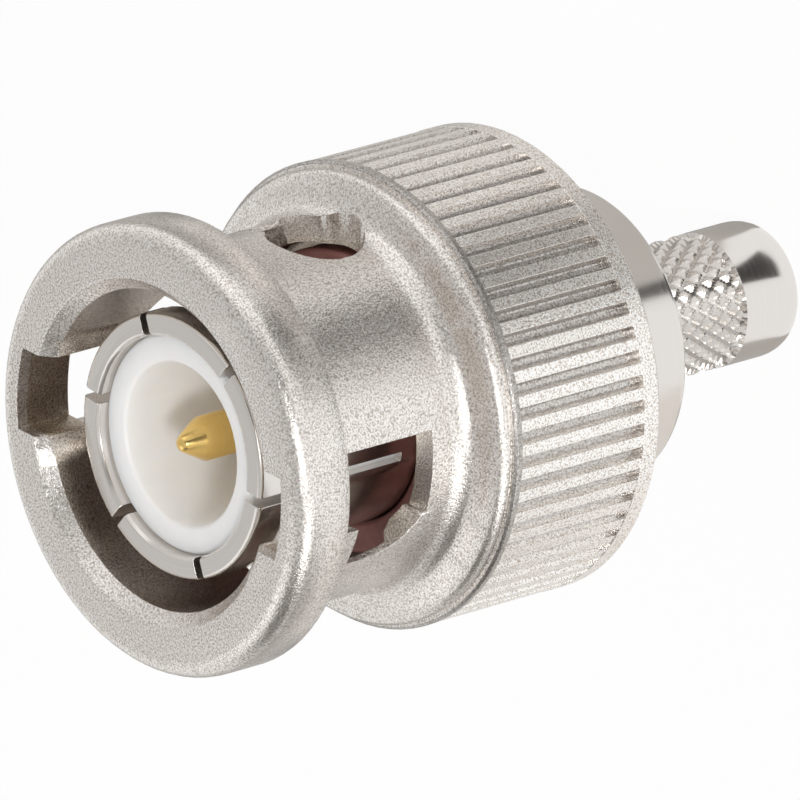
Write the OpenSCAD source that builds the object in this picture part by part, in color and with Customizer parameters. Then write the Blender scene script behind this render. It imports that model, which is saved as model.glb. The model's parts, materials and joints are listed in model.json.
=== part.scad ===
// Bayonet cable plug with a quarter-turn coupling nut, for thin coaxial cable.
// It stands on its crimp stem: Z = 0 is the stem's end and +Z points to the mating face.
// All sizes are in millimetres.

/* [Coupling nut] */
// Length of the nut from its front face to its rear face
nut_l = 14.1; // [13.5:0.1:15]
// Outer diameter of the plain front ring
ring_d = 13.8; // [13.2:0.1:14.2]
// Thickness of the front ring along the axis
ring_l = 2; // [1.6:0.1:2.2]
// Radius of the front ring's rounded outer edge
ring_round = 0.6; // [0.3:0.1:0.8]
// Diameter of the bore that takes the socket's barrel
bore_d = 9.8; // [9.7:0.05:10]
// Width of the chamfer round the mouth of that bore
bore_chamfer = 0.4; // [0.2:0.1:0.6]
// Outer diameter of the thin neck that holds the bayonet slots
neck_d = 11.3; // [11.2:0.05:11.4]
// Distance from the front face to the shoulder of the grip
shoulder_at = 7.8; // [7.7:0.1:8.2]
// Outer diameter of the grip over its ribs
grip_d = 14.3; // [14:0.1:15]
// Number of straight ribs round the grip
rib_count = 60; // [48:2:72]
// Depth of the grooves between the ribs
rib_depth = 0.3; // [0.15:0.05:0.4]
// Length of the grooves between the ribs
rib_l = 4.85; // [4:0.05:5]
// Width of the plain band in front of the ribs
band_l = 0.25; // [0.15:0.05:0.4]
// Wall left between the inner cavity and the bottom of the grooves
grip_wall = 1.05; // [0.9:0.05:1.1]

/* [Bayonet slots] */
// Direction of the first entry notch
notch_turn = 60.5; // [0:0.5:359]
// Width of the entry notches
notch_w = 2.6; // [2.3:0.1:2.8]
// Diameter across the floors of the two entry notches
notch_d = 12; // [11.6:0.1:12.4]
// Diameter across the floors of the hidden channels under the bridges
channel_d = 10.9; // [10.7:0.1:11]
// Width of the entry window along the axis
track_w = 2.65; // [2.5:0.05:2.7]
// Distance from the front face to the track where a lug enters
track_start = 3.6; // [3.4:0.1:3.8]
// Distance that the cam draws a lug back before it drops into its detent
cam_rise = 1.55; // [1.2:0.05:1.6]
// Turn from entry notch to detent
lock_turn = 90; // [85:1:95]
// Radius of the detent at the end of each track
detent_r = 1.5; // [1.4:0.05:1.6]
// Depth of the detent below the top of the cam
detent_drop = 0.6; // [0.4:0.05:0.8]
// Angle at which the open entry window ends
entry_open_turn = 27; // [26:1:30]
// Angle at which the open detent window starts
detent_open_turn = 61; // [56:1:64]

/* [Plug body] */
// Length of the crimp stem behind the hub
stem_l = 6.9; // [6:0.1:9]
// Diameter of the crimp stem
stem_d = 4.2; // [4:0.05:4.4]
// Diameter of the cable bore through the stem
cable_bore_d = 3; // [2.8:0.05:3.1]
// Length of the stem's tapered, rounded end
stem_nose_l = 0.7; // [0.4:0.1:1]
// Length of the hub that shows behind the nut
hub_show_l = 3.3; // [2.5:0.1:4]
// Radial room for the washers between the hub and the nut
washer_room = 1.2; // [1.1:0.05:1.3]
// Radius of the hub's rear edge
hub_round = 0.35; // [0.2:0.05:0.6]
// Thickness of the flange that the nut pulls on
flange_l = 1.2; // [1:0.1:1.4]
// Diameter of the cavity round the centre contact's barrel
cavity_d = 3.8; // [3.4:0.1:4.2]

/* [Outer contact] */
// Diameter over the swollen finger tips
finger_d = 8.1; // [8:0.05:8.2]
// Diameter of the thinner shank behind the tips
shank_d = 7.3; // [7.2:0.05:7.4]
// Inner diameter of the sleeve
contact_bore_d = 6.7; // [6.6:0.05:6.8]
// Distance of the finger tips behind the nut's front face
finger_back = 0.9; // [0.6:0.1:1.5]
// Number of spring fingers
finger_count = 6; // [4:1:8]
// Width of the slots between the fingers
finger_slot_w = 0.3; // [0.2:0.05:0.4]
// Length of the slots between the fingers
finger_slot_l = 5.9; // [5:0.1:6]
// Direction of the first slot
finger_turn = 55; // [0:1:59]
// Length of the sleeve that is pressed into the body
press_l = 2.1; // [1.6:0.1:2.4]

/* [Insulator and centre contact] */
// Distance of the insulator's rim behind the nut's front face
rim_back = 1.25; // [0.9:0.05:1.6]
// Inner diameter of the insulator's cup
cup_d = 5; // [4.9:0.05:5.1]
// Depth of the insulator's cup
cup_depth = 5.3; // [5:0.1:5.6]
// Diameter of the centre contact's pin
pin_d = 1.35; // [1.32:0.01:1.37]
// Distance of the pin's tip behind the nut's front face
tip_back = 1.2; // [0.9:0.1:1.6]
// Length of the pin's rounded, tapered tip
tip_l = 0.9; // [0.6:0.1:1.2]
// Diameter of the thicker root that fills the hole in the insulator
root_d = 1.8; // [1.7:0.05:1.9]
// Depth of the crimp barrel's seat in the insulator
barrel_seat = 2; // [1.6:0.1:2.4]
// Diameter of the centre contact's crimp barrel
barrel_d = 2; // [1.8:0.1:2.2]
// Length of the crimp barrel behind the insulator
barrel_l = 3.6; // [3:0.1:4]
// Diameter of the hole for the cable's centre wire
wire_d = 1; // [0.9:0.05:1.1]
// Depth of the hole for the cable's centre wire
wire_depth = 3; // [2:0.1:3.4]

/* [Gasket, springs and rings] */
// Thickness of the silicone gasket
gasket_l = 0.9; // [0.7:0.1:1.1]
// Outer diameter of the gasket
gasket_d = 9.3; // [9:0.05:9.6]
// Free height of the wave washer
wave_h = 1.4; // [1.2:0.1:1.6]
// Thickness of the wave washer's strip
wave_t = 0.3; // [0.2:0.05:0.4]
// Number of waves round the wave washer
wave_count = 3; // [3:1:4]
// Thickness of the thrust washer
thrust_l = 0.5; // [0.4:0.05:0.6]
// Thickness of the split retaining ring
ring_clip_l = 0.8; // [0.6:0.05:0.9]
// Depth of the retaining ring's groove in the nut
clip_groove = 0.45; // [0.3:0.05:0.5]
// Width of the gap in the split retaining ring
clip_gap_w = 2.5; // [1.5:0.1:3.5]

/* [Clearances] */
// Radial running clearance between the nut and the body's flange
run_gap = 0.08; // [0.05:0.01:0.1]
// Radial clearance of washers round the hub
washer_gap = 0.12; // [0.08:0.01:0.15]
// Clearance between pieces that are pressed or stacked together
seat_gap = 0.01; // [0.005:0.005:0.02]
// Axial clearance between pieces that slide or turn on one another
slide_gap = 0.03; // [0.02:0.01:0.05]

/* [Hidden] */
$fn = 96;
arc_steps = 6;
// How far a cutter reaches past the piece that it cuts
past = 1;

// Stack along the axis, from the stem's end upwards
hub_z = stem_l;
nut_z = hub_z + hub_show_l;
top_z = nut_z + nut_l;
shoulder_z = top_z - shoulder_at;
ring_z = top_z - ring_l;

// Radii
rib_drop = 0.02;
ring_r = ring_d / 2;
bore_r = bore_d / 2;
neck_r = neck_d / 2;
grip_r = grip_d / 2;
groove_r = grip_r - rib_depth;
rib_r = grip_r - rib_drop;
inner_r = groove_r - grip_wall;
notch_r = notch_d / 2;
channel_r = channel_d / 2;
stem_r = stem_d / 2;
cable_r = cable_bore_d / 2;
hub_r = inner_r - washer_room;
flange_r = inner_r - run_gap;
finger_r = finger_d / 2;
shank_r = shank_d / 2;
contact_r = contact_bore_d / 2;
pin_r = pin_d / 2;
root_r = root_d / 2;
barrel_r = barrel_d / 2;
cavity_r = cavity_d / 2;
gasket_r = gasket_d / 2;

// Nut: neck fillet, shoulder and rib lines
fillet_r = 1;
fillet_foot = 0.35;
fillet_rise = 0.25;
fillet_turn = acos(1 - fillet_foot / fillet_r);
step_r = grip_r - 0.2;
step_l = 0.4;
rib_z1 = shoulder_z - step_l - band_l;
rib_z0 = rib_z1 - rib_l;
rear_chamfer = 0.25;
step_back = 0.5;
ring_edge = 0.12;
step_edge = 0.15;
band_edge = 0.08;

// Ribs: share of the pitch at foot and top, depth of the root and overlap with the bands
rib_foot = 0.36;
rib_top = 0.24;
rib_root = 0.1;
rib_over = 0.05;

// Body and what is stacked on it
cavity_play = 0.6;
drill_cone = 0.3;
nose_share = 0.6;
clip_play = 0.1;
flange_z = shoulder_z - step_back - seat_gap;
step_z = flange_z + seat_gap;
wave_z1 = flange_z - flange_l - slide_gap;
wave_z0 = wave_z1 - wave_h;
thrust_z = wave_z0 - slide_gap - thrust_l;
clip_z = thrust_z - slide_gap - ring_clip_l;
washer_r0 = hub_r + washer_gap;
washer_r1 = inner_r - washer_gap;
clip_r1 = inner_r + clip_groove - washer_gap / 2;
gasket_z = flange_z + seat_gap;
contact_z = flange_z - press_l;
tip_z = top_z - finger_back;
rim_z = top_z - rim_back;
cup_z = rim_z - cup_depth;
pin_top = top_z - tip_back;
barrel_z = contact_z - barrel_l;
cavity_z = barrel_z - cavity_play;

// Track of the bayonet lugs: angle and front edge, counted from the entry notch
arc_mm = PI * neck_r / 180;
peak = track_start + cam_rise;
detent_c = peak - detent_drop + detent_r;
lug_w = 2 + slide_gap;
corner_r = 2.1;

// Reach of the slot cutters outside and inside the neck's wall
slot_out_r = ring_r - 0.4;
slot_in_r = bore_r - 0.6;

// Outer contact, centre contact and soft edges
finger_edge = 0.15;
swell_l = 1;
swell_taper = 1.2;
mouth_edge = 0.1;
cup_edge = 0.08;
gasket_edge = 0.1;
pin_nose_share = 0.45;
wave_step = 7.5;

// Points of an arc in the profile plane
function arc(cx, cy, r, a0, a1) =
    [for (i = [0:arc_steps]) let (a = a0 + (a1 - a0) * i / arc_steps)
        [cx + r * cos(a), cy + r * sin(a)]];

// One point of a curved, four-cornered sweep round the axis
function polar(r, a, z) = [r * cos(a), r * sin(a), z];

// Sweep round the axis; each station is [angle, low z, high z]
module sweep(stations, r0, r1) {
    n = len(stations);
    pts = [for (s = stations) each [polar(r0, s[0], s[1]), polar(r1, s[0], s[1]),
                                    polar(r1, s[0], s[2]), polar(r0, s[0], s[2])]];
    sides = [for (i = [0:n - 2], k = [0:3]) let (m = (k + 1) % 4)
        each [[4 * i + k, 4 * i + m, 4 * (i + 1) + m], [4 * i + k, 4 * (i + 1) + m, 4 * (i + 1) + k]]];
    last = 4 * (n - 1);
    caps = [[0, 2, 1], [0, 3, 2], [last, last + 1, last + 2], [last, last + 2, last + 3]];
    polyhedron(pts, concat(sides, caps));
}

// Front edge of a lug's track, as a distance from the front face: level, then the cam
function cam_at(t) =
    track_start + cam_rise * max(0, min(1, (t - entry_open_turn) / (detent_open_turn - entry_open_turn)));

// Half chord of the detent at an angle past the entry notch
function detent_half(t) =
    let (x = (t - lock_turn) * arc_mm) sqrt(max(0, detent_r * detent_r - x * x));

// Front edge of the detent window: the top of the cam, then the dip of the detent
function detent_front(t) =
    let (dip = detent_c - detent_half(t)) t > lock_turn ? dip : min(track_start + cam_rise, dip);

// Rear edge of the detent window: the end of the track, then the round of the detent
function detent_rear(t) =
    let (rim = detent_c + detent_half(t)) t > lock_turn ? rim : max(track_start + cam_rise + lug_w, rim);

// Turn of the detent's far end, just short of the tip of its round
detent_end = lock_turn + 0.99 * detent_r / arc_mm;

// Rear edge of the entry window, rounded off where the window ends
function entry_rear(t) =
    let (x = max(0, (t - entry_open_turn) * arc_mm + corner_r))
    track_start + track_w - corner_r + sqrt(max(0, corner_r * corner_r - x * x));

// Both slots: entry notch, entry window, hidden channel and detent window
module slots() {
    hidden_l = detent_open_turn - entry_open_turn;
    open_turns = [for (i = [18:-1:0]) entry_open_turn * i / 18];
    hidden_turns = [detent_open_turn + 0.5, for (i = [12:-1:0]) entry_open_turn + hidden_l * i / 12,
                    entry_open_turn / 2];
    detent_turns = [for (i = [0:20]) detent_end - (detent_end - detent_open_turn) * (1 - cos(4.5 * i))];
    for (side = [0, 180]) rotate([0, 0, side + notch_turn]) {
        intersection() {
            translate([0, 0, top_z - track_start - track_w]) cylinder(r = notch_r, h = nut_l);
            translate([0, -notch_w / 2, 0]) cube([ring_r, notch_w, top_z + past]);
        }
        sweep([for (t = open_turns) [-t, top_z - entry_rear(t), top_z - cam_at(t)]], slot_in_r, slot_out_r);
        sweep([for (t = hidden_turns) [-t, top_z - cam_at(t) - lug_w, top_z - cam_at(t)]],
              slot_in_r, channel_r);
        sweep([for (t = detent_turns) [-t, top_z - detent_rear(t), top_z - detent_front(t)]],
              slot_in_r, slot_out_r);
    }
}

// Outline of the ribbed grip, seen along the axis: tapered ribs rooted in the core
module rib_outline() {
    pitch = 360 / rib_count;
    polygon([for (i = [0:rib_count - 1], k = [0:3])
        let (a = pitch * (i + [-rib_foot, -rib_top, rib_top, rib_foot][k]),
             r = k == 0 || k == 3 ? groove_r - rib_root : rib_r)
        [r * cos(a), r * sin(a)]]);
}

// Outer form of the nut without its ribs
module nut_outside() {
    rotate_extrude() polygon(concat(
        [[0, nut_z], [grip_r - rear_chamfer, nut_z], [grip_r, nut_z + rear_chamfer],
         [grip_r, rib_z0], [groove_r, rib_z0], [groove_r, rib_z1], [grip_r, rib_z1],
         [grip_r, rib_z1 + band_l - band_edge], [grip_r - band_edge, rib_z1 + band_l],
         [step_r, rib_z1 + band_l], [step_r, shoulder_z - step_edge], [step_r - step_edge, shoulder_z]],
        arc(neck_r + fillet_r, shoulder_z + fillet_rise + fillet_r * sin(fillet_turn), fillet_r,
            180 + fillet_turn, 180),
        [[neck_r, ring_z], [ring_r - ring_edge, ring_z], [ring_r, ring_z + ring_edge]],
        arc(ring_r - ring_round, top_z - ring_round, ring_round, 0, 90),
        [[0, top_z]]));
}

// Bore, cavity and ring groove of the nut
module nut_inside() {
    rotate_extrude() polygon([
        [0, nut_z - past], [inner_r + rear_chamfer + past, nut_z - past], [inner_r, nut_z + rear_chamfer],
        [inner_r, clip_z - slide_gap], [inner_r + clip_groove, clip_z - slide_gap],
        [inner_r + clip_groove, thrust_z], [inner_r, thrust_z],
        [inner_r, step_z], [bore_r, step_z], [bore_r, top_z - bore_chamfer],
        [bore_r + bore_chamfer + past, top_z + past], [0, top_z + past]]);
}

module coupling_nut() {
    color("silver") difference() {
        union() {
            nut_outside();
            translate([0, 0, rib_z0 - rib_over]) linear_extrude(rib_l + 2 * rib_over) rib_outline();
        }
        nut_inside();
        slots();
    }
}

// Split ring that sprang into the nut's groove and keeps the washers in
module retaining_ring() {
    color("gainsboro") difference() {
        translate([0, 0, clip_z]) cylinder(r = clip_r1, h = ring_clip_l);
        translate([0, 0, clip_z - past]) cylinder(r = washer_r0 + clip_play, h = ring_clip_l + 2 * past);
        translate([0, -clip_gap_w / 2, clip_z - past]) cube([ring_r, clip_gap_w, ring_clip_l + 2 * past]);
    }
}

// Flat washer between the retaining ring and the wave washer
module thrust_washer() {
    color("gainsboro") difference() {
        translate([0, 0, thrust_z]) cylinder(r = washer_r1, h = thrust_l);
        translate([0, 0, thrust_z - past]) cylinder(r = washer_r0, h = thrust_l + 2 * past);
    }
}

// Wave spring that pushes the nut back against the flange
module wave_washer() {
    swing = (wave_h - wave_t) / 2;
    mid = wave_z0 + wave_h / 2;
    color("lightgray") for (half = [0, 180])
        sweep([for (a = [0:wave_step:180]) let (z = mid + swing * cos(wave_count * (a + half)))
            [a + half, z - wave_t / 2, z + wave_t / 2]], washer_r0, washer_r1);
}

// Turned body: flange, hub and crimp stem in one piece
module plug_body() {
    nose = (stem_r - cable_r) * nose_share;
    color("silver") rotate_extrude() polygon(concat(
        [[cable_r, 0], [stem_r - nose, 0]],
        [for (i = [1:arc_steps]) let (a = 90 * i / arc_steps)
            [stem_r - nose + nose * sin(a), stem_nose_l * (1 - cos(a))]],
        [[stem_r, hub_z]],
        arc(hub_r - hub_round, hub_z + hub_round, hub_round, -90, 0),
        [[hub_r, flange_z - flange_l], [flange_r, flange_z - flange_l], [flange_r, flange_z],
         [shank_r + seat_gap, flange_z], [shank_r + seat_gap, contact_z - seat_gap],
         [cavity_r, contact_z - seat_gap], [cavity_r, cavity_z], [cable_r, cavity_z - drill_cone]]));
}

// Slotted sleeve whose fingers press into the socket
module outer_contact() {
    color("silver") difference() {
        rotate_extrude() polygon(concat(
            [[contact_r, contact_z], [shank_r, contact_z], [shank_r, tip_z - swell_l - swell_taper],
             [finger_r, tip_z - swell_l]],
            arc(finger_r - finger_edge, tip_z - finger_edge, finger_edge, 0, 90),
            [[contact_r + mouth_edge, tip_z], [contact_r, tip_z - mouth_edge]]));
        for (i = [0:finger_count - 1]) rotate([0, 0, finger_turn + 360 * i / finger_count])
            translate([contact_r - past, -finger_slot_w / 2, tip_z - finger_slot_l])
                cube([finger_r - contact_r + 2 * past, finger_slot_w, finger_slot_l + past]);
    }
}

// Fluoropolymer insulator with the cup that takes the socket's dielectric
module insulator() {
    outer = contact_r - seat_gap;
    seat_r = barrel_r + seat_gap;
    cup_r = cup_d / 2;
    color("white") rotate_extrude() polygon([
        [root_r + seat_gap, contact_z + barrel_seat], [seat_r, contact_z + barrel_seat], [seat_r, contact_z],
        [outer, contact_z], [outer, rim_z - cup_edge], [outer - cup_edge, rim_z],
        [cup_r + cup_edge, rim_z], [cup_r, rim_z - cup_edge], [cup_r, cup_z], [root_r + seat_gap, cup_z]]);
}

// Centre contact: round-nosed pin in front, crimp barrel behind
module center_pin() {
    nose = pin_r * pin_nose_share;
    step = contact_z + barrel_seat - seat_gap;
    color("gold") rotate_extrude() polygon(concat(
        [[0, barrel_z + wire_depth], [wire_d / 2, barrel_z + wire_depth - drill_cone],
         [wire_d / 2, barrel_z], [barrel_r, barrel_z], [barrel_r, step], [root_r, step],
         [root_r, cup_z], [pin_r, cup_z],
         [pin_r, pin_top - tip_l]],
        arc(0, pin_top - nose, nose, 30, 90)));
}

// Soft ring that seals against the socket's rim
module gasket() {
    inner = shank_r + slide_gap;
    front = gasket_z + gasket_l;
    color("brown") rotate_extrude() polygon([
        [inner, gasket_z], [gasket_r, gasket_z], [gasket_r, front - gasket_edge],
        [gasket_r - gasket_edge, front], [inner + gasket_edge, front], [inner, front - gasket_edge]]);
}

coupling_nut();
retaining_ring();
thrust_washer();
wave_washer();
plug_body();
outer_contact();
insulator();
center_pin();
gasket();
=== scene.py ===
import bmesh
import bpy
import json
import math
from mathutils import Matrix, Vector


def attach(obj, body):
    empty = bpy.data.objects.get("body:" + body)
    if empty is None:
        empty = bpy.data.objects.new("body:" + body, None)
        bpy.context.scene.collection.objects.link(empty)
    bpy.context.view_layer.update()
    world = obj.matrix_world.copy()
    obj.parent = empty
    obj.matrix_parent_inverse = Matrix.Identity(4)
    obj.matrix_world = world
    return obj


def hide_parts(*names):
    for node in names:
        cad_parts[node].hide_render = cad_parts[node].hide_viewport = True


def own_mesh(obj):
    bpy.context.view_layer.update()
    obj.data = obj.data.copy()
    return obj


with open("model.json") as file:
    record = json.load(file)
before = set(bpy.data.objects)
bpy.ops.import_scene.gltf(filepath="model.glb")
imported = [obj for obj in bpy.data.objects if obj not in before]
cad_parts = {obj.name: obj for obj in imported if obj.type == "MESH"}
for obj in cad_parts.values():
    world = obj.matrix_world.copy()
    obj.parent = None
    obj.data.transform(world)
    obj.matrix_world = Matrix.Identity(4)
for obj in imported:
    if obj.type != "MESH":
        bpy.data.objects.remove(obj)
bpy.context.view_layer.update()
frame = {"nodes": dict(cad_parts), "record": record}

mm = 0.001
weld = 0.0005  # corners that lie closer than this, in mm, are one
flatAngle = 0.4  # faces that turn by less than this, in degrees, are one


print("frame loaded")


# materials: patterns read Object coordinates, and lengths are in mm unless a note says metres

def newMaterial(name):
    material = bpy.data.materials.new(name)
    material.use_nodes = True
    tree = material.node_tree
    return material, tree.nodes, tree.links, tree.nodes["Principled BSDF"]


def objectPoint(nodes):
    return nodes.new("ShaderNodeTexCoord").outputs["Object"]


def noiseAt(nodes, links, point, grain, detail=2.0, rough=0.5):
    noise = nodes.new("ShaderNodeTexNoise")  # grain is the size of one blotch
    noise.inputs["Scale"].default_value = 1 / (grain * mm)
    noise.inputs["Detail"].default_value = detail
    noise.inputs["Roughness"].default_value = rough
    links.new(point, noise.inputs["Vector"])
    return noise.outputs["Fac"]


def rampFrom(nodes, links, source, stops):
    ramp = nodes.new("ShaderNodeValToRGB")
    ramp.color_ramp.elements[0].position = stops[0][0]
    ramp.color_ramp.elements[0].color = (*stops[0][1], 1)
    ramp.color_ramp.elements[1].position = stops[-1][0]
    ramp.color_ramp.elements[1].color = (*stops[-1][1], 1)
    for place, colour in stops[1:-1]:
        ramp.color_ramp.elements.new(place).color = (*colour, 1)
    links.new(source, ramp.inputs["Fac"])
    return ramp.outputs["Color"]


def twoTone(nodes, links, source, look):
    return rampFrom(nodes, links, source, list(zip(look["stops"], (look["shade"], look["colour"]))))


def spread(nodes, links, source, low, high, fromLow=0.3, fromHigh=0.7):
    remap = nodes.new("ShaderNodeMapRange")  # a noise mostly lies between 0.3 and 0.7
    remap.inputs["From Min"].default_value = fromLow
    remap.inputs["From Max"].default_value = fromHigh
    remap.inputs["To Min"].default_value = low
    remap.inputs["To Max"].default_value = high
    links.new(source, remap.inputs["Value"])
    return remap.outputs["Result"]


def bumpFrom(nodes, links, height, depth, under=None):
    bump = nodes.new("ShaderNodeBump")  # depth is the height of the relief
    bump.inputs["Distance"].default_value = depth * mm
    bump.inputs["Strength"].default_value = 1
    links.new(height, bump.inputs["Height"])
    if under is not None:
        links.new(under, bump.inputs["Normal"])
    return bump.outputs["Normal"]


def softEdge(nodes, radius, samples=6):
    bevel = nodes.new("ShaderNodeBevel")
    bevel.samples = samples
    bevel.inputs["Radius"].default_value = radius * mm
    return bevel.outputs["Normal"]


def radiusAndHeight(nodes, links):
    split = nodes.new("ShaderNodeSeparateXYZ")
    links.new(objectPoint(nodes), split.inputs["Vector"])
    flat = nodes.new("ShaderNodeCombineXYZ")
    links.new(split.outputs["X"], flat.inputs["X"])
    links.new(split.outputs["Y"], flat.inputs["Y"])
    radius = nodes.new("ShaderNodeVectorMath")
    radius.operation = "LENGTH"
    links.new(flat.outputs["Vector"], radius.inputs[0])
    return radius.outputs["Value"], split.outputs["Z"]


def latheRings(nodes, links, pitch):
    radius, height = radiusAndHeight(nodes, links)
    lines = nodes.new("ShaderNodeCombineXYZ")
    links.new(radius, lines.inputs["X"])
    links.new(height, lines.inputs["Z"])
    return noiseAt(nodes, links, lines.outputs["Vector"], pitch, detail=3.0, rough=0.6)


def combine(nodes, links, operation, first, second):
    step = nodes.new("ShaderNodeMath")
    step.operation = operation
    for socket, value in zip(step.inputs, (first, second)):
        if isinstance(value, (int, float)):
            socket.default_value = value
        else:
            links.new(value, socket)
    return step.outputs["Value"]


def between(nodes, links, value, low, high):
    above = combine(nodes, links, "GREATER_THAN", value, low * mm)
    below = combine(nodes, links, "LESS_THAN", value, high * mm)
    return combine(nodes, links, "MULTIPLY", above, below)


def changeColour(nodes, links, operation, colour, by):
    step = nodes.new("ShaderNodeVectorMath")
    step.operation = operation
    links.new(colour, step.inputs[0])
    socket = step.inputs["Scale"] if operation == "SCALE" else step.inputs[1]
    if isinstance(by, tuple):
        socket.default_value = by
    else:
        links.new(by, socket)
    return step.outputs["Vector"]


def tintWhere(nodes, links, colour, mask, tint):
    return changeColour(nodes, links, "MULTIPLY", colour,
                        rampFrom(nodes, links, mask, [(0, (1, 1, 1)), (1, tint)]))


castLook = {
    "colour": (0.84, 0.80, 0.76),
    "shade": (0.50, 0.455, 0.41),
    "bright": (0.97, 0.94, 0.91),
    "sandStops": (0.36, 0.5, 0.63),
    "rough": (0.15, 0.26),
    "patch": 2.4,
    "grain": 0.062,
    "relief": 0.013,
    "fineGrain": 0.03,
    "fineRelief": 0.006,
    "edge": 0.04,
    "groove": 0.74,  # brightness of the painted shade in the grooves and of the painted highlight on the rib tops
    "topHighlight": 1.18,
    "ribRadii": (6.9, 7.06),
    "ribFront": (15.9, 15.95),
    "band": 0.52,  # brightness of the painted shade on the recess in front of the ribs
    "bandZ": (15.84, 16.12),
    "bandR": 7.05,
    "inner": (1, 0.975, 0.93),  # tints of the bore, slightly warm, and of the entry notches, darker brown as a painted shade
    "notch": (0.76, 0.70, 0.61),
    "innerR": 5.05,
    "notchR": 6.05,
    "ringZ": 22.3,
    "mouthZ": 23.88,
}


def sandColour(nodes, links, look, coarse):
    radius, height = radiusAndHeight(nodes, links)
    sand = rampFrom(nodes, links, coarse,
                    list(zip(look["sandStops"], (look["shade"], look["colour"], look["bright"]))))
    inBore = combine(nodes, links, "MULTIPLY",
                     combine(nodes, links, "LESS_THAN", height, look["mouthZ"] * mm),
                     combine(nodes, links, "LESS_THAN", radius, look["innerR"] * mm))
    inShadedNotch = combine(nodes, links, "MULTIPLY",
                      between(nodes, links, height, look["ringZ"], look["mouthZ"]),
                      between(nodes, links, radius, look["innerR"], look["notchR"]))
    # painted shade: a darker brown tint inside the entry notches, and a slight warm tint inside the bore
    sand = tintWhere(nodes, links, sand, inBore, look["inner"])
    sand = tintWhere(nodes, links, sand, inShadedNotch, look["notch"])

    # painted shade in the rib grooves and painted highlight on the rib tops
    ribShadeAndHighlight = spread(nodes, links, radius, look["groove"], look["topHighlight"], *[r * mm for r in look["ribRadii"]])
    inFront = spread(nodes, links, height, 0, 1, *[z * mm for z in look["ribFront"]])
    # painted shade on the recess in front of the ribs
    onShadedBand = combine(nodes, links, "MULTIPLY", between(nodes, links, height, *look["bandZ"]),
                     combine(nodes, links, "GREATER_THAN", radius, look["bandR"] * mm))
    paintedShadeAndHighlight = combine(nodes, links, "MULTIPLY", combine(nodes, links, "MAXIMUM", ribShadeAndHighlight, inFront),
                   spread(nodes, links, onShadedBand, 1, look["band"], 0, 1))
    sand = changeColour(nodes, links, "SCALE", sand, paintedShadeAndHighlight)
    return changeColour(nodes, links, "MINIMUM", sand, (1, 1, 1))


def makeCastNickel(look):
    material, nodes, links, shader = newMaterial("cast nickel")
    point = objectPoint(nodes)
    coarse = noiseAt(nodes, links, point, look["grain"], rough=0.55)
    fine = noiseAt(nodes, links, point, look["fineGrain"], detail=1.0)
    patches = noiseAt(nodes, links, point, look["patch"])
    links.new(sandColour(nodes, links, look, coarse), shader.inputs["Base Color"])
    links.new(spread(nodes, links, patches, *look["rough"]), shader.inputs["Roughness"])
    shader.inputs["Metallic"].default_value = 1
    under = bumpFrom(nodes, links, coarse, look["relief"], softEdge(nodes, look["edge"]))
    links.new(bumpFrom(nodes, links, fine, look["fineRelief"], under), shader.inputs["Normal"])
    return material


turnedLook = {
    "colour": (0.80, 0.765, 0.73),
    "shade": (0.76, 0.725, 0.69),
    "stops": (0.3, 0.6),
    "rough": (0.14, 0.26),
    "ringPitch": 0.022,
    "relief": 0.0004,
}

springLook = dict(turnedLook, colour=(0.62, 0.60, 0.57), shade=(0.45, 0.43, 0.41), rough=(0.22, 0.36))

goldLook = dict(turnedLook, colour=(1.0, 0.72, 0.26), shade=(0.86, 0.56, 0.17), rough=(0.14, 0.24),
                ringPitch=0.012, relief=0.0002)


def makeTurnedMetal(name, look):
    material, nodes, links, shader = newMaterial(name)
    rings = latheRings(nodes, links, look["ringPitch"])
    links.new(twoTone(nodes, links, rings, look), shader.inputs["Base Color"])
    links.new(spread(nodes, links, rings, *look["rough"]), shader.inputs["Roughness"])
    shader.inputs["Metallic"].default_value = 1
    links.new(bumpFrom(nodes, links, rings, look["relief"]), shader.inputs["Normal"])
    return material


ptfeLook = {
    "colour": (0.965, 0.95, 0.93),
    "shade": (0.935, 0.915, 0.89),
    "stops": (0.3, 0.65),
    "rough": (0.34, 0.48),
    "patch": 0.9,
    "ringPitch": 0.08,
    "relief": 0.002,
    "milky": 0.7,  # share of the light that goes under the surface, its reach by colour and in mm
    "milkyRadius": (1, 0.9, 0.8),
    "milkyScale": 1.2,
}


def makePtfe(look):
    material, nodes, links, shader = newMaterial("ptfe")
    patches = noiseAt(nodes, links, objectPoint(nodes), look["patch"], detail=3.0)
    rings = latheRings(nodes, links, look["ringPitch"])
    links.new(twoTone(nodes, links, patches, look), shader.inputs["Base Color"])
    links.new(spread(nodes, links, rings, *look["rough"]), shader.inputs["Roughness"])
    shader.inputs["Subsurface Weight"].default_value = look["milky"]
    shader.inputs["Subsurface Radius"].default_value = look["milkyRadius"]
    shader.inputs["Subsurface Scale"].default_value = look["milkyScale"] * mm
    links.new(bumpFrom(nodes, links, rings, look["relief"]), shader.inputs["Normal"])
    return material


siliconeLook = {
    "colour": (0.38, 0.16, 0.14),
    "shade": (0.27, 0.10, 0.09),
    "stops": (0.3, 0.65),
    "rough": (0.42, 0.6),
    "patch": 0.7,
    "grain": 0.06,
    "relief": 0.004,
}


def makeSilicone(look):
    material, nodes, links, shader = newMaterial("silicone")
    point = objectPoint(nodes)
    patches = noiseAt(nodes, links, point, look["patch"], detail=3.0)
    fine = noiseAt(nodes, links, point, look["grain"])
    links.new(twoTone(nodes, links, patches, look), shader.inputs["Base Color"])
    links.new(spread(nodes, links, fine, *look["rough"]), shader.inputs["Roughness"])
    links.new(bumpFrom(nodes, links, fine, look["relief"]), shader.inputs["Normal"])
    return material


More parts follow.
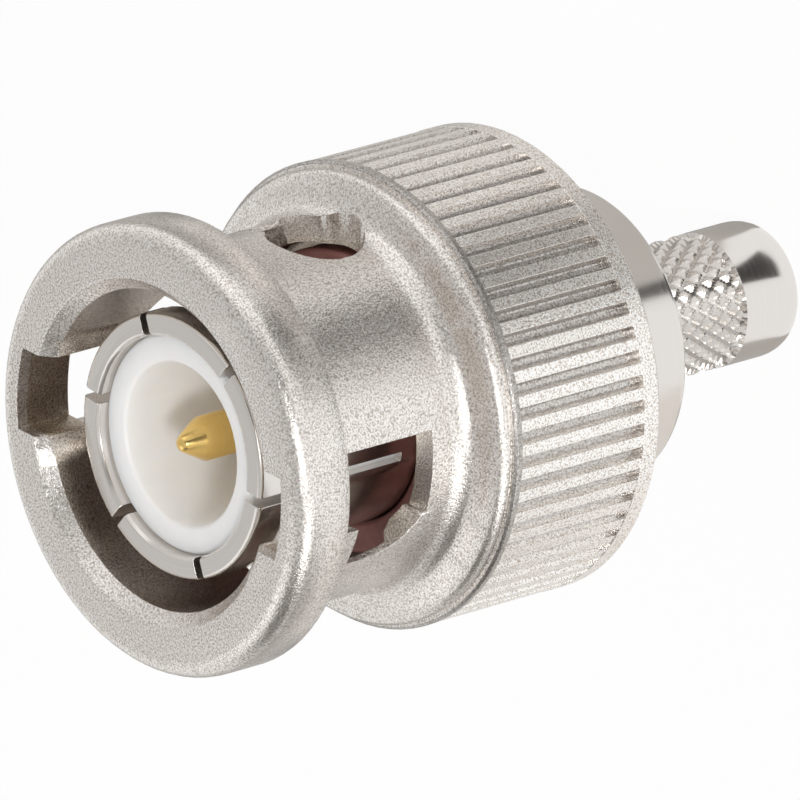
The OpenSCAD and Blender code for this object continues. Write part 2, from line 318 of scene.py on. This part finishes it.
castNickel = makeCastNickel(castLook)
turnedNickel = makeTurnedMetal("turned nickel", turnedLook)
springSteel = makeTurnedMetal("spring steel", springLook)
goldPlate = makeTurnedMetal("gold plate", goldLook)
ptfe = makePtfe(ptfeLook)
silicone = makeSilicone(siliconeLook)
print("materials made")


# pieces

def bodyOf(node):
    bodies = frame["record"]["behaviour"]["bodies"]
    return next(body for body, nodes in bodies.items() if node in nodes)


def finishPiece(piece, node, material):
    piece.data.materials.clear()
    piece.data.materials.append(material)
    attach(piece, bodyOf(node))
    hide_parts(node)
    return piece


def smoothBy(mesh, degrees):
    for face in mesh.polygons:
        face.use_smooth = True
    mesh.set_sharp_from_angle(angle=math.radians(degrees))


def addBevel(piece, width, degrees):
    bevel = piece.modifiers.new("edge", "BEVEL")
    bevel.width = width * mm
    bevel.segments = 2
    bevel.limit_method = "ANGLE"
    bevel.angle_limit = math.radians(degrees)
    bevel.miter_outer = "MITER_ARC"
    bevel.use_clamp_overlap = False
    bevel.loop_slide = True
    bevel.harden_normals = True


def pieceFrom(bm, name):
    mesh = bpy.data.meshes.new(name)
    bm.to_mesh(mesh)
    bm.free()
    piece = bpy.data.objects.new(name, mesh)
    bpy.context.scene.collection.objects.link(piece)
    return piece


edgeLook = {  # rounding of the edges; 0 where the material rounds them, or where they stay sharp
    "coupling_nut": 0,
    "outer_contact": 0.03,
    "insulator": 0.03,
    "center_pin": 0.02,
    "gasket": 0.05,
    "retaining_ring": 0.05,
    "thrust_washer": 0.04,
    "wave_washer": 0,
}


def dressedCopy(node, name, material, sharp=30):
    bm = bmesh.new()  # sharp is the angle, in degrees, from which an edge shows
    bm.from_mesh(frame["nodes"][node].data)
    bmesh.ops.remove_doubles(bm, verts=bm.verts, dist=weld * mm)
    bmesh.ops.dissolve_limit(bm, angle_limit=math.radians(flatAngle), verts=bm.verts, edges=bm.edges)
    bmesh.ops.recalc_face_normals(bm, faces=bm.faces)
    piece = pieceFrom(bm, name)
    smoothBy(piece.data, sharp)
    if edgeLook[node]:
        addBevel(piece, edgeLook[node], sharp)
    return finishPiece(piece, node, material)


def spunPiece(outline, name, steps):
    bm = bmesh.new()  # outline is a closed loop of (radius, height)
    dots = [bm.verts.new((r * mm, 0, z * mm)) for r, z in outline]
    edges = [bm.edges.new((dots[i], dots[(i + 1) % len(dots)])) for i in range(len(dots))]
    bmesh.ops.spin(bm, geom=dots + edges, cent=(0, 0, 0), axis=(0, 0, 1), angle=math.tau,
                   steps=steps, use_merge=True, use_duplicate=False)
    bmesh.ops.remove_doubles(bm, verts=bm.verts, dist=weld * mm)
    bmesh.ops.recalc_face_normals(bm, faces=bm.faces)
    return pieceFrom(bm, name)


def quarterRound(r, z, width, height, steps=6):
    turns = [math.tau / 4 * i / steps for i in range(steps + 1)]  # from (r, z) outwards and up
    return [(r + width * math.sin(t), z + height * (1 - math.cos(t))) for t in turns]


nut = dressedCopy("coupling_nut", "couplingNut", castNickel)
print("nut", len(nut.data.polygons))

bodyForm = {
    "steps": 192,
    "sharp": 12,
    "stemR": 2.1,
    "boreR": 1.5,
    "noseL": 0.7,
    "noseW": 0.36,
    "hubZ": 6.9,
    "hubR": 4.6,
    "hubRound": 0.35,
    "flangeZ0": 14.79,
    "flangeZ1": 15.99,
    "flangeR": 5.72,
    "seatR": 3.66,
    "seatZ": 13.88,
    "cavityR": 1.9,
    "cavityZ": 9.69,
    "coneZ": 9.39,
    "knurlZ0": 2.3,
    "knurlZ1": 6.84,
    "lead": 0.05,  # plain ring behind the knurl
    "margin": 0.01,
    "skin": 0.3,  # the knurl cuts nothing this close to the bore
    "starts": 24,
    "rings": 50,
    "depth": 0.2,
    "top": 0.82,  # where a diamond's flat top starts: a larger share makes it smaller
}


def knurlDepth(angle, z, form):
    pitch = (form["knurlZ1"] - form["knurlZ0"]) / form["rings"] * form["steps"] / form["starts"]
    share = angle / math.tau * form["starts"]
    rise = (z - form["knurlZ0"]) / pitch
    toGroove = min(abs((share + k * rise) % 1 - 0.5) * -2 + 1 for k in (-1, 1))
    return form["depth"] * (1 - min(1, toGroove / form["top"]))


def cutKnurl(mesh, form):
    low = (form["knurlZ0"] + form["margin"]) * mm
    high = (form["knurlZ1"] - form["margin"]) * mm
    for vert in mesh.vertices:
        x, y, z = vert.co
        radius = math.hypot(x, y)
        if low < z < high and radius > (form["boreR"] + form["skin"]) * mm:
            left = 1 - knurlDepth(math.atan2(y, x), z / mm, form) * mm / radius
            vert.co.x, vert.co.y = x * left, y * left


def makePlugBody(form):
    stemR, hubR, hubZ, corner = form["stemR"], form["hubR"], form["hubZ"], form["hubRound"]
    ringPitch = (form["knurlZ1"] - form["knurlZ0"]) / form["rings"]
    outline = ([(form["boreR"], 0)] + quarterRound(stemR - form["noseW"], 0, form["noseW"], form["noseL"])
               + [(stemR, form["knurlZ0"] - form["lead"])]
               + [(stemR, form["knurlZ0"] + ringPitch * i) for i in range(form["rings"] + 1)]
               + [(stemR, hubZ)] + quarterRound(hubR - corner, hubZ, corner, corner)
               + [(hubR, form["flangeZ0"]), (form["flangeR"], form["flangeZ0"]),
                  (form["flangeR"], form["flangeZ1"]), (form["seatR"], form["flangeZ1"]),
                  (form["seatR"], form["seatZ"]), (form["cavityR"], form["seatZ"]),
                  (form["cavityR"], form["cavityZ"]), (form["boreR"], form["coneZ"])])
    piece = spunPiece(outline, "plugBody", form["steps"])
    cutKnurl(piece.data, form)
    smoothBy(piece.data, form["sharp"])
    return finishPiece(piece, "plug_body", turnedNickel)


plugBody = makePlugBody(bodyForm)
print("body", len(plugBody.data.polygons))

dressedCopy("outer_contact", "outerContact", turnedNickel)
dressedCopy("insulator", "insulatorCup", ptfe)
dressedCopy("center_pin", "centerPin", goldPlate, sharp=40)
dressedCopy("gasket", "gasketRing", silicone)
dressedCopy("retaining_ring", "retainingRing", springSteel)
dressedCopy("thrust_washer", "thrustWasher", springSteel)
waveWasher = dressedCopy("wave_washer", "waveWasher", springSteel)
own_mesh(waveWasher)  # gets a mesh of its own
print("pieces made")


# floor, light and camera

stageLook = {
    "floorSize": 3.0,  # in metres
    "floorDrop": 0.01,
    "floorColour": (0.92, 0.92, 0.92),
    "floorRough": 0.9,
    "floorShare": 0.94,  # how far the floor is plain white where it is seen
    "sky": (1, 0.99, 0.98),
    "skyLow": 0.78,  # strength near the horizon and overhead, with the sines of those heights
    "skyHigh": 0.56,
    "skySpan": (0.05, 0.9),
    "rimSpan": (0.02, 0.2),  # below this the sky turns white, as the floor is
}


def makeFloor(look):
    bpy.ops.mesh.primitive_plane_add(size=look["floorSize"], location=(0, 0, -look["floorDrop"] * mm))
    floor = bpy.context.object
    floor.name = "floor"
    material, nodes, links, shader = newMaterial("pale floor")
    shader.inputs["Base Color"].default_value = (*look["floorColour"], 1)
    shader.inputs["Roughness"].default_value = look["floorRough"]
    glow = nodes.new("ShaderNodeEmission")
    glow.inputs["Strength"].default_value = 1
    path = nodes.new("ShaderNodeLightPath")
    seen = combine(nodes, links, "MAXIMUM", path.outputs["Is Camera Ray"], path.outputs["Is Glossy Ray"])
    seen = combine(nodes, links, "MAXIMUM", seen, path.outputs["Is Transmission Ray"])
    mix = nodes.new("ShaderNodeMixShader")
    links.new(combine(nodes, links, "MULTIPLY", seen, look["floorShare"]), mix.inputs["Fac"])
    links.new(shader.outputs["BSDF"], mix.inputs[1])
    links.new(glow.outputs["Emission"], mix.inputs[2])
    links.new(mix.outputs["Shader"], nodes["Material Output"].inputs["Surface"])
    floor.data.materials.append(material)


def makeWorld(look):
    world = bpy.data.worlds.new("studio")
    bpy.context.scene.world = world
    world.use_nodes = True
    nodes, links = world.node_tree.nodes, world.node_tree.links
    nodes.clear()
    output = nodes.new("ShaderNodeOutputWorld")
    soft = nodes.new("ShaderNodeBackground")
    soft.inputs["Color"].default_value = (*look["sky"], 1)
    coord = nodes.new("ShaderNodeTexCoord")
    split = nodes.new("ShaderNodeSeparateXYZ")
    links.new(coord.outputs["Generated"], split.inputs["Vector"])
    sky = spread(nodes, links, split.outputs["Z"], look["skyLow"], look["skyHigh"], *look["skySpan"])
    rim = spread(nodes, links, split.outputs["Z"], 1 / look["skyLow"], 1, *look["rimSpan"])
    links.new(combine(nodes, links, "MULTIPLY", sky, rim), soft.inputs["Strength"])
    links.new(soft.outputs["Background"], output.inputs["Surface"])


lampAim = 12  # height that every lamp points at

lampLook = {  # direction that a lamp stands in, distance and side in metres, strength in watts
    "key": ((-0.85, -0.5, 0.12), 0.25, 0.10, 0.09),
    "front": ((-0.25, -0.78, 0.6), 0.40, 0.06, 0.58),
    "side": ((0.9, -0.3, 0.5), 0.28, 0.16, 0.04),
    "back": ((-0.6, 0.6, 0.9), 0.3, 0.2, 0.06),
}


def makeLamps():
    for name, (direction, distance, side, watts) in lampLook.items():
        data = bpy.data.lights.new(name, "AREA")
        data.shape = "SQUARE"
        data.size = side
        data.energy = watts
        lamp = bpy.data.objects.new(name, data)
        lamp.location = Vector(direction).normalized() * distance + Vector((0, 0, lampAim * mm))
        lamp.rotation_mode = "QUATERNION"
        lamp.rotation_quaternion = Vector(direction).to_track_quat("Z", "Y")
        bpy.context.scene.collection.objects.link(lamp)


cardTint = (1, 0.97, 0.94)
cardRough = 0.9

cardLook = {  # grey cards that only reflections see: centre, width, depth, tilt and turn in degrees, grey
    "behind": ((0, 52.5, 0.02), 160, 107, 0, 0, 0.58),
    "rightHub": ((10.5, 1.5, 0.03), 13, 35, 0, 0, 0.66),
    "rightNear": ((21.5, 1.5, 0.03), 9, 35, 0, 0, 0.95),
    "rightFar": ((68, 1.5, 0.03), 84, 35, 0, 0, 0.46),
    "middle": ((29, -42.5, 0.05), 62, 20, 0, -56, 0.2),
    "low": ((-58, 2, 0.03), 56, 64, 0, 0, 0.44),
    "left": ((-62, 6, 44), 64, 62, 90, 90, 0.3),
    "lowNear": ((-16, 6, 0.06), 17, 26, 0, 0, 0.95),
    "near": ((3, -11.7, 0.04), 2, 18.4, 0, 12, 0.05),
    "far": ((8, -46, 0.04), 8, 50, 0, 8, 0.7),
    "lens": ((0, -117, 106), 90, 90, 51.2, 0, 0.03),
}


def makeCards():
    for name, (centre, width, depth, tilt, turn, grey) in cardLook.items():
        material, _, _, shader = newMaterial(name + " card")
        shader.inputs["Base Color"].default_value = (*[grey * part for part in cardTint], 1)
        shader.inputs["Roughness"].default_value = cardRough
        bm = bmesh.new()
        bmesh.ops.create_grid(bm, x_segments=1, y_segments=1, size=mm / 2)
        bmesh.ops.scale(bm, vec=(width, depth, 1), verts=bm.verts)
        for degrees, axis in ((tilt, "X"), (turn, "Z")):
            bmesh.ops.rotate(bm, matrix=Matrix.Rotation(math.radians(degrees), 3, axis), verts=bm.verts)
        bmesh.ops.translate(bm, vec=Vector(centre) * mm, verts=bm.verts)
        card = pieceFrom(bm, name + "Card")
        card.data.materials.append(material)
        card.visible_camera = card.visible_diffuse = card.visible_shadow = False
        card.visible_transmission = False


cameraLook = {  # the camera stands back from the anchor, along forward
    "forward": (0, 0.780, -0.626),
    "up": (0.9637, -0.1671, -0.2082),
    "anchor": (0, 0, 23.9),
    "distance": 575.7,
    "right": 7.142,
    "rise": 1.497,
    "lens": 877.5,
    "sensor": 36,
    "clip": (0.01, 10),  # in metres
}


def makeCamera(look):
    forward = Vector(look["forward"]).normalized()
    up = Vector(look["up"])
    up = (up - forward * up.dot(forward)).normalized()
    right = forward.cross(up)
    data = bpy.data.cameras.new("camera")
    data.lens = look["lens"]
    data.sensor_width = look["sensor"]
    data.clip_start, data.clip_end = look["clip"]
    camera = bpy.data.objects.new("camera", data)
    place = (Vector(look["anchor"]) - forward * look["distance"] + right * look["right"]
             + up * look["rise"]) * mm
    turn = Matrix((right, up, -forward)).transposed().to_4x4()
    camera.matrix_world = Matrix.Translation(place) @ turn
    bpy.context.scene.collection.objects.link(camera)
    bpy.context.scene.camera = camera


makeFloor(stageLook)
makeWorld(stageLook)
makeLamps()
makeCards()
makeCamera(cameraLook)
bpy.context.scene.view_settings.view_transform = "Standard"
print("studio set")
